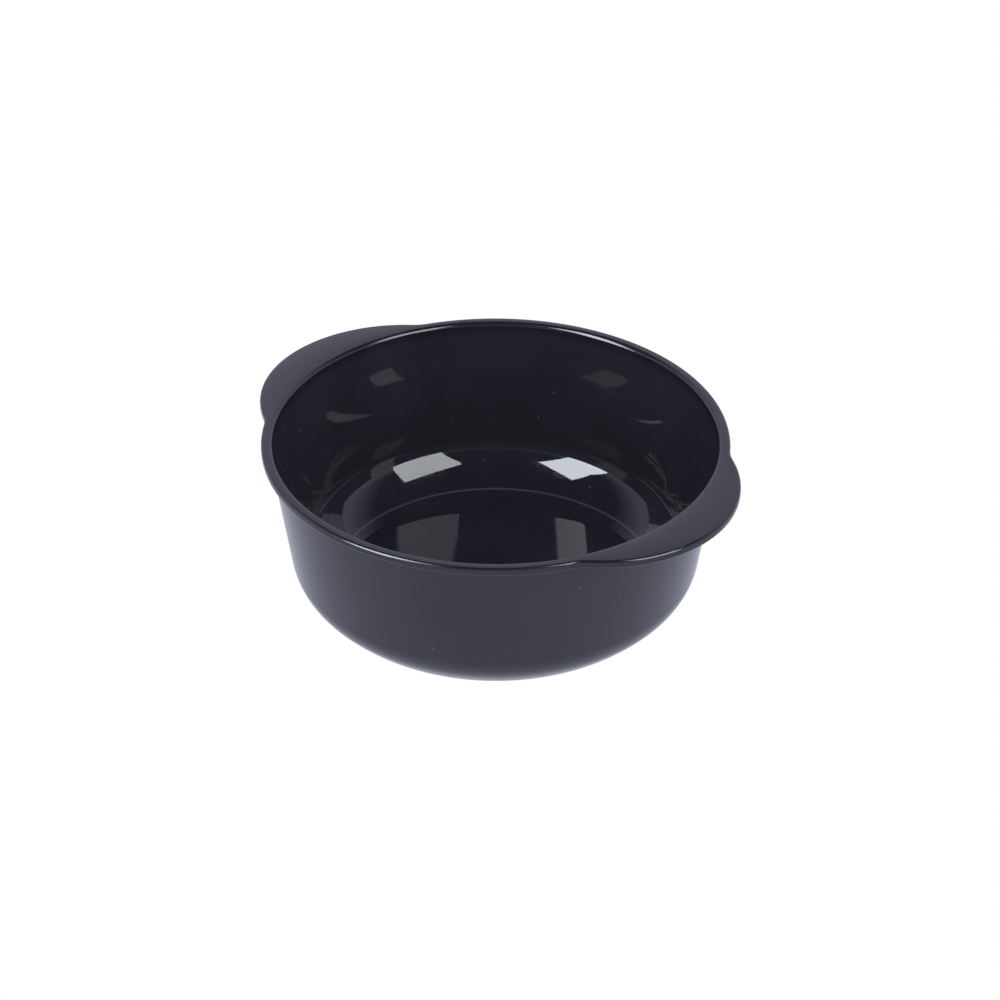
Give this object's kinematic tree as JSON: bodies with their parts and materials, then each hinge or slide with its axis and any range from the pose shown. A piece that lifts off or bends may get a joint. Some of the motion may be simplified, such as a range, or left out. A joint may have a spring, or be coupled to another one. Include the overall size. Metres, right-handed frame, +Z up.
{
  "type": "hair color bowl",
  "caption": "Round drafted mixing bowl in gloss plastic with a rounded lip and two opposite finger ears, on a rubber anti-slip foot ring.",
  "frame": {"origin": "on the resting plane, under the bowl's axis", "axes": "+Z up along the bowl's axis, X through the tips of the two finger ears"},
  "size_m": [0.16, 0.14, 0.06],
  "materials": {
    "bowl_plastic": "polished black moulding, slightly satin outside",
    "grip_rubber": "matt black rubber with three shallow round tread lines"
  },
  "bodies": {
    "root": {"bowl": "bowl_plastic", "grip_ring": "grip_rubber"}
  },
  "joints": []
}
